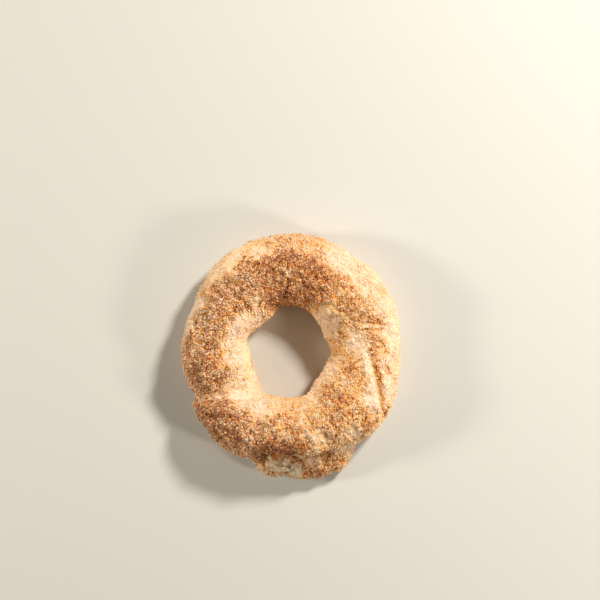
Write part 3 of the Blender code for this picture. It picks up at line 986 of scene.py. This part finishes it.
def make_sugar_material(name, glaze, glaze_share, roughness):
    """The crust's tone, browner or paler by grain, under a glaze of its own."""
    material = bpy.data.materials.new(name)
    material.use_nodes = True
    tree = material.node_tree
    shader = tree.nodes["Principled BSDF"]
    under = attribute(tree, "brown")
    tint = map_range(tree, attribute(tree, "tint"), -0.5, 1.5, 1.11, -1.17)
    tint = maths(tree, "MULTIPLY", tint, map_range(tree, under, 0.0, 0.6, 0.26, 1.0))
    browned = maths(tree, "MINIMUM", maths(tree, "ADD", under, tint), BROWNEST_GRAIN)
    values = {"Brown": browned, "Warm": attribute(tree, "warm")}
    tone = add_node(tree, "ShaderNodeGroup", {"node_tree": tone_group}, **values)
    glazed = mix_colours(tree, glaze_share, tone.outputs["Colour"], glaze)
    tree.links.new(glazed, shader.inputs["Base Color"])
    shader.inputs["Roughness"].default_value = roughness
    shader.inputs["Specular IOR Level"].default_value = 0.35
    shader.inputs["Subsurface Weight"].default_value = 0.4
    shader.inputs["Subsurface Radius"].default_value = (1.0, 0.7, 0.4)
    shader.inputs["Subsurface Scale"].default_value = 0.5 * MM
    return material


baked_sugar = make_sugar_material("baked_sugar", PINK, 0.08, 0.42)
clear_sugar = make_sugar_material("clear_sugar", CLEAR_GLAZE, 0.50, 0.25)
print("materials:", baked_sugar.name, "and", clear_sugar.name)

# %% [markdown]
# Four lots of grains: coarse ones that keep to the brown crest, medium ones wherever sugar
# lies, light ones, and fine ones that dust the pale dough between.

# %% Grains on the dough
crest_sugar = sugar_here**1.4
# light grains are thicker towards the left, where they paint glints
clear_here = sugar_here * (0.7 + 0.5 * smooth_step(8.0, -22.0, flat[:, 0]))
pale_sugar = on_top * (1 - 0.95 * torn) * (1 - bare)
pale_sugar = pale_sugar * (1 - 0.7 * np.clip(brown, 0, 1)) * (1 - 0.9 * crease)
make_grains("sugar_baked_a", crest_sugar, 16000, (0.34, 0.66), 0.28, 11, baked_sugar)
make_grains("sugar_baked_b", sugar_here, 15500, (0.24, 0.50), 0.18, 12, baked_sugar)
make_grains("sugar_clear", clear_here, 7000, (0.26, 0.54), 0.30, 13, clear_sugar)
make_grains("sugar_fine", pale_sugar, 9000, (0.20, 0.38), 0.10, 14, baked_sugar)

# %% [markdown]
# ## Setting
#
# A plain pale floor shows the cookie's edge and its shadow. It is much larger than the cookie,
# so that its own edges stay out of every view.

# %% Floor
FLOOR_SIDE = 3.0
FLOOR_COLOUR = (0.60, 0.59, 0.54, 1.0)
FLOOR_DROP = 0.0002  # keeps the floor and the cookie's underside apart

bpy.ops.mesh.primitive_plane_add(size=FLOOR_SIDE, location=(0, 0, -FLOOR_DROP))
floor = bpy.context.object
floor.name = "floor"
floor_material = bpy.data.materials.new("floor")
floor_material.use_nodes = True
floor_shader = floor_material.node_tree.nodes["Principled BSDF"]
floor_shader.inputs["Base Color"].default_value = FLOOR_COLOUR
floor_shader.inputs["Roughness"].default_value = 0.6
floor.data.materials.append(floor_material)
print("floor:", FLOOR_SIDE, "m a side")

# %% [markdown]
# The main light comes from the upper right and rather low, which brings out the creases and
# shades the wall round the hole at the back. Two weaker lamps open the shade from the lower
# right and the left. A sun would give hard edges, so the lamps are disks of 12 cm.

# %% Lights
LAMP_SIZE = 0.12


def soft_lamp(name, place, power, colour):
    """A disk that shines at the cookie's middle."""
    light = bpy.data.lights.new(name, "AREA")
    light.shape = "DISK"
    light.size = LAMP_SIZE
    light.energy = power
    light.color = colour
    lamp = bpy.data.objects.new(name, light)
    lamp.location = place
    lamp.rotation_euler = (-Vector(place)).to_track_quat("-Z", "Y").to_euler()
    bpy.context.scene.collection.objects.link(lamp)


soft_lamp("key", (0.39, 0.43, 0.46), 6.8, (1.0, 0.950, 0.890))
soft_lamp("side", (0.56, -0.27, 0.33), 2.0, (1.0, 0.95, 0.88))
soft_lamp("fill", (-0.63, 0.02, 0.30), 2.8, (1.0, 0.930, 0.82))
world = bpy.data.worlds.new("studio")
bpy.context.scene.world = world
world.use_nodes = True
world.node_tree.nodes["Background"].inputs["Color"].default_value = (1.0, 0.97, 0.87, 1.0)
world.node_tree.nodes["Background"].inputs["Strength"].default_value = 0.14
print("lamps:", len(bpy.data.lights))

# %% [markdown]
# The photograph is 600 pixels wide and about 0.344 mm a pixel at the cookie, which fixes the
# width that the camera takes in. The hole's middle is at pixel (290, 354), so the camera
# stands over pixel (300, 300), a little up and to the right of it. It could stand nearer with
# a wider lens, but then the rope's walls would lean outwards more than they do there.

# %% Camera
PHOTO_SIDE = 600
MM_PER_PIXEL = 0.344
HOLE_PIXEL = (290, 354)
CAMERA_HEIGHT = 0.75
CREST_HEIGHT = 0.012  # the level at which a pixel is that long
SENSOR_WIDTH = 36.0

camera_data = bpy.data.cameras.new("camera")
camera_data.sensor_width = SENSOR_WIDTH
view_width = PHOTO_SIDE * MM_PER_PIXEL * MM
camera_data.lens = SENSOR_WIDTH * (CAMERA_HEIGHT - CREST_HEIGHT) / view_width
camera = bpy.data.objects.new("camera", camera_data)
camera.location = (
    (HOLE_MIDDLE[0] + (PHOTO_SIDE / 2 - HOLE_PIXEL[0]) * MM_PER_PIXEL) * MM,
    (HOLE_MIDDLE[1] - (PHOTO_SIDE / 2 - HOLE_PIXEL[1]) * MM_PER_PIXEL) * MM,
    CAMERA_HEIGHT,
)
bpy.context.scene.collection.objects.link(camera)
bpy.context.scene.camera = camera
bpy.context.scene.view_settings.view_transform = "Standard"
bpy.context.scene.view_settings.exposure = 0.0
print("lens:", round(camera_data.lens, 1), "mm")
